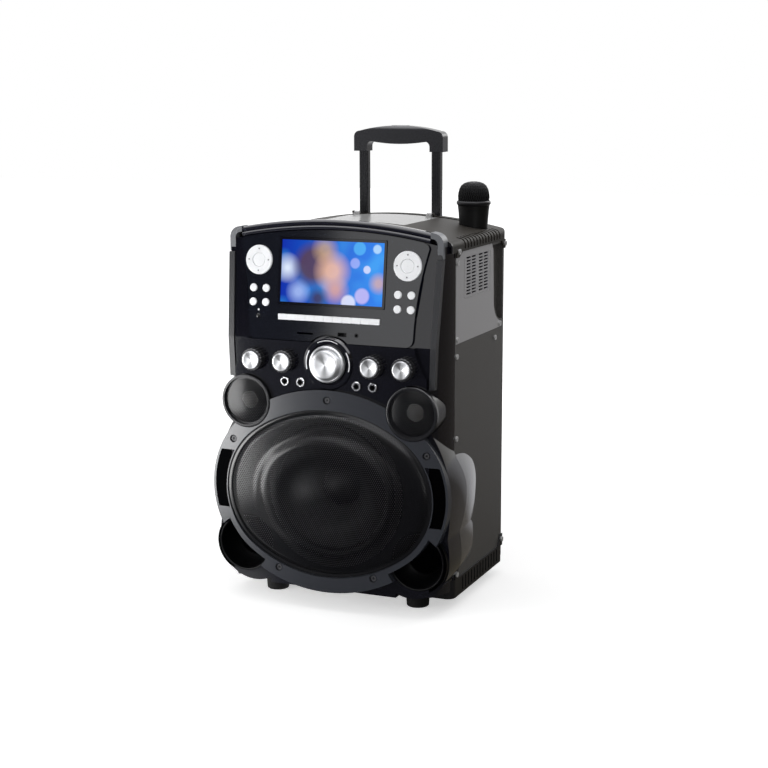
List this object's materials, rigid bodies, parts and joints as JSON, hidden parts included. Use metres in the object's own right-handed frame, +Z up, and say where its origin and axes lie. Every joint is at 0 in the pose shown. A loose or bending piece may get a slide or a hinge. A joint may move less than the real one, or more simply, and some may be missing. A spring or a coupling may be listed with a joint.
{
  "type": "karaoke machine",
  "caption": "Portable karaoke machine on a trolley base, with a disc lid and microphone holders in its deck, a display, and an oval woofer grille in front.",
  "frame": {"origin": "on the floor, in the middle of the width and depth of the machine as it stands", "axes": "+X to the right seen from the front, +Y to the back, +Z up"},
  "size_m": [0.359, 0.2898, 0.666],
  "materials": {
    "vinyl": "satin",
    "cap": "satin",
    "base": "satin",
    "console": "gloss",
    "panel": "gloss",
    "bezel": "gloss",
    "screen": "gloss",
    "trim": "satin",
    "plate": "satin",
    "cheek": "gloss",
    "ring": "satin",
    "grille": "satin",
    "driver": "satin",
    "port": "satin",
    "chrome": "polished",
    "screw": "satin",
    "foot": "matt",
    "rail": "satin",
    "amp": "satin",
    "axle": "satin",
    "deck": "satin",
    "hub": "satin",
    "lid": "satin",
    "wheel": "matt",
    "tube": "satin",
    "grip": "satin",
    "release": "satin",
    "mic": "satin",
    "micbody": "satin",
    "rocker": "gloss",
    "knob": "brushed",
    "jog": "brushed",
    "button": "gloss"
  },
  "bodies": {
    "machine": {"cabinet": "vinyl", "top_cap": "cap", "base_cap": "base", "fascia": "console", "control_panel": "panel", "display_bezel": "bezel", "display_screen": "screen", "corner_trims": "trim", "side_plates": "plate", "side_cheeks": "cheek", "woofer_ring": "ring", "speaker_grilles": "grille", "speaker_drivers": "driver", "port_tubes": "port", "tweeter_pods": "ring", "sockets": "chrome", "screws": "screw", "feet": "foot", "trolley_rails": "rail", "amp_module": "amp", "wheel_axles": "axle", "disc_deck": "deck"},
    "disc_hub_body": {"disc_hub": "hub"},
    "disc_lid_body": {"disc_lid": "lid"},
    "wheel_left_body": {"wheel_left": "wheel"},
    "wheel_right_body": {"wheel_right": "wheel"},
    "handle": {"handle_tubes": "tube", "handle_grip": "grip"},
    "release": {"release_button": "release"},
    "microphone": {"microphone_head": "mic", "microphone_body": "micbody"},
    "rocker": {"power_switch": "rocker"},
    "knob_1_body": {"knob_1": "knob"},
    "knob_2_body": {"knob_2": "knob"},
    "jog_knob_body": {"jog_knob": "jog"},
    "knob_3_body": {"knob_3": "knob"},
    "knob_4_body": {"knob_4": "knob"},
    "dpad_left_body": {"dpad_left": "button"},
    "dpad_right_body": {"dpad_right": "button"},
    "dpad_left_centre_body": {"dpad_left_centre": "button"},
    "dpad_right_centre_body": {"dpad_right_centre": "button"},
    "button_1_body": {"button_1": "button"},
    "button_2_body": {"button_2": "button"},
    "button_3_body": {"button_3": "button"},
    "button_4_body": {"button_4": "button"},
    "button_5_body": {"button_5": "button"},
    "button_6_body": {"button_6": "button"},
    "button_7_body": {"button_7": "button"},
    "button_8_body": {"button_8": "button"},
    "key_1_body": {"key_1": "button"},
    "key_2_body": {"key_2": "button"},
    "key_3_body": {"key_3": "button"},
    "key_4_body": {"key_4": "button"},
    "key_5_body": {"key_5": "button"},
    "key_6_body": {"key_6": "button"},
    "key_7_body": {"key_7": "button"},
    "key_8_body": {"key_8": "button"},
    "key_9_body": {"key_9": "button"},
    "key_10_body": {"key_10": "button"},
    "key_11_body": {"key_11": "button"}
  },
  "joints": [
    {"name": "disc_spin", "type": "hinge", "parent": "machine", "child": "disc_hub_body", "pos_m": [0, 0.03959, 0.524], "axis": [0, 0, 1], "continuous": true},
    {"name": "lid_hinge", "type": "hinge", "parent": "machine", "child": "disc_lid_body", "pos_m": [0, 0.10509, 0.538], "axis": [-1, 0, 0], "range_deg": [0, 80]},
    {"name": "wheel_left_spin", "type": "hinge", "parent": "machine", "child": "wheel_left_body", "pos_m": [-0.12, 0.11809, 0.025], "axis": [1, 0, 0], "continuous": true},
    {"name": "wheel_right_spin", "type": "hinge", "parent": "machine", "child": "wheel_right_body", "pos_m": [0.12, 0.11809, 0.025], "axis": [1, 0, 0], "continuous": true},
    {"name": "handle_slide", "type": "slide", "parent": "machine", "child": "handle", "axis": [0, 0, 1], "range_m": [-0.088, 0.226]},
    {"name": "release_press", "type": "slide", "parent": "handle", "child": "release", "axis": [0, 0, -1], "range_m": [0, 0.0025], "stiffness_N_per_m": 300},
    {"name": "microphone_lift", "type": "slide", "parent": "machine", "child": "microphone", "axis": [0, 0, 1], "range_m": [0, 0.16]},
    {"name": "power_rock", "type": "hinge", "parent": "machine", "child": "rocker", "pos_m": [0, 0.12759, 0.302], "axis": [1, 0, 0], "range_deg": [-8, 8]},
    {"name": "knob_1_turn", "type": "hinge", "parent": "machine", "child": "knob_1_body", "pos_m": [-0.1133, -0.12641, 0.3492], "axis": [0, 1, 0], "range_deg": [-150, 150]},
    {"name": "knob_2_turn", "type": "hinge", "parent": "machine", "child": "knob_2_body", "pos_m": [-0.0664, -0.12641, 0.3492], "axis": [0, 1, 0], "range_deg": [-150, 150]},
    {"name": "jog_knob_turn", "type": "hinge", "parent": "machine", "child": "jog_knob_body", "pos_m": [0, -0.12641, 0.3492], "axis": [0, 1, 0], "range_deg": [-150, 150]},
    {"name": "knob_3_turn", "type": "hinge", "parent": "machine", "child": "knob_3_body", "pos_m": [0.0664, -0.12641, 0.3492], "axis": [0, 1, 0], "range_deg": [-150, 150]},
    {"name": "knob_4_turn", "type": "hinge", "parent": "machine", "child": "knob_4_body", "pos_m": [0.1133, -0.12641, 0.3492], "axis": [0, 1, 0], "range_deg": [-150, 150]},
    {"name": "dpad_left_press", "type": "slide", "parent": "machine", "child": "dpad_left_body", "axis": [0, 0.9925, -0.1219], "range_m": [0, 0.001], "stiffness_N_per_m": 300},
    {"name": "dpad_right_press", "type": "slide", "parent": "machine", "child": "dpad_right_body", "axis": [0, 0.9925, -0.1219], "range_m": [0, 0.001], "stiffness_N_per_m": 300},
    {"name": "dpad_left_centre_press", "type": "slide", "parent": "machine", "child": "dpad_left_centre_body", "axis": [0, 0.9925, -0.1219], "range_m": [0, 0.001], "stiffness_N_per_m": 300},
    {"name": "dpad_right_centre_press", "type": "slide", "parent": "machine", "child": "dpad_right_centre_body", "axis": [0, 0.9925, -0.1219], "range_m": [0, 0.001], "stiffness_N_per_m": 300},
    {"name": "button_1_press", "type": "slide", "parent": "machine", "child": "button_1_body", "axis": [0, 0.9925, -0.1219], "range_m": [0, 0.001], "stiffness_N_per_m": 300},
    {"name": "button_2_press", "type": "slide", "parent": "machine", "child": "button_2_body", "axis": [0, 0.9925, -0.1219], "range_m": [0, 0.001], "stiffness_N_per_m": 300},
    {"name": "button_3_press", "type": "slide", "parent": "machine", "child": "button_3_body", "axis": [0, 0.9925, -0.1219], "range_m": [0, 0.001], "stiffness_N_per_m": 300},
    {"name": "button_4_press", "type": "slide", "parent": "machine", "child": "button_4_body", "axis": [0, 0.9925, -0.1219], "range_m": [0, 0.001], "stiffness_N_per_m": 300},
    {"name": "button_5_press", "type": "slide", "parent": "machine", "child": "button_5_body", "axis": [0, 0.9925, -0.1219], "range_m": [0, 0.001], "stiffness_N_per_m": 300},
    {"name": "button_6_press", "type": "slide", "parent": "machine", "child": "button_6_body", "axis": [0, 0.9925, -0.1219], "range_m": [0, 0.001], "stiffness_N_per_m": 300},
    {"name": "button_7_press", "type": "slide", "parent": "machine", "child": "button_7_body", "axis": [0, 0.9925, -0.1219], "range_m": [0, 0.001], "stiffness_N_per_m": 300},
    {"name": "button_8_press", "type": "slide", "parent": "machine", "child": "button_8_body", "axis": [0, 0.9925, -0.1219], "range_m": [0, 0.001], "stiffness_N_per_m": 300},
    {"name": "key_1_press", "type": "slide", "parent": "machine", "child": "key_1_body", "axis": [0, 0.9925, -0.1219], "range_m": [0, 0.001], "stiffness_N_per_m": 300},
    {"name": "key_2_press", "type": "slide", "parent": "machine", "child": "key_2_body", "axis": [0, 0.9925, -0.1219], "range_m": [0, 0.001], "stiffness_N_per_m": 300},
    {"name": "key_3_press", "type": "slide", "parent": "machine", "child": "key_3_body", "axis": [0, 0.9925, -0.1219], "range_m": [0, 0.001], "stiffness_N_per_m": 300},
    {"name": "key_4_press", "type": "slide", "parent": "machine", "child": "key_4_body", "axis": [0, 0.9925, -0.1219], "range_m": [0, 0.001], "stiffness_N_per_m": 300},
    {"name": "key_5_press", "type": "slide", "parent": "machine", "child": "key_5_body", "axis": [0, 0.9925, -0.1219], "range_m": [0, 0.001], "stiffness_N_per_m": 300},
    {"name": "key_6_press", "type": "slide", "parent": "machine", "child": "key_6_body", "axis": [0, 0.9925, -0.1219], "range_m": [0, 0.001], "stiffness_N_per_m": 300},
    {"name": "key_7_press", "type": "slide", "parent": "machine", "child": "key_7_body", "axis": [0, 0.9925, -0.1219], "range_m": [0, 0.001], "stiffness_N_per_m": 300},
    {"name": "key_8_press", "type": "slide", "parent": "machine", "child": "key_8_body", "axis": [0, 0.9925, -0.1219], "range_m": [0, 0.001], "stiffness_N_per_m": 300},
    {"name": "key_9_press", "type": "slide", "parent": "machine", "child": "key_9_body", "axis": [0, 0.9925, -0.1219], "range_m": [0, 0.001], "stiffness_N_per_m": 300},
    {"name": "key_10_press", "type": "slide", "parent": "machine", "child": "key_10_body", "axis": [0, 0.9925, -0.1219], "range_m": [0, 0.001], "stiffness_N_per_m": 300},
    {"name": "key_11_press", "type": "slide", "parent": "machine", "child": "key_11_body", "axis": [0, 0.9925, -0.1219], "range_m": [0, 0.001], "stiffness_N_per_m": 300}
  ]
}
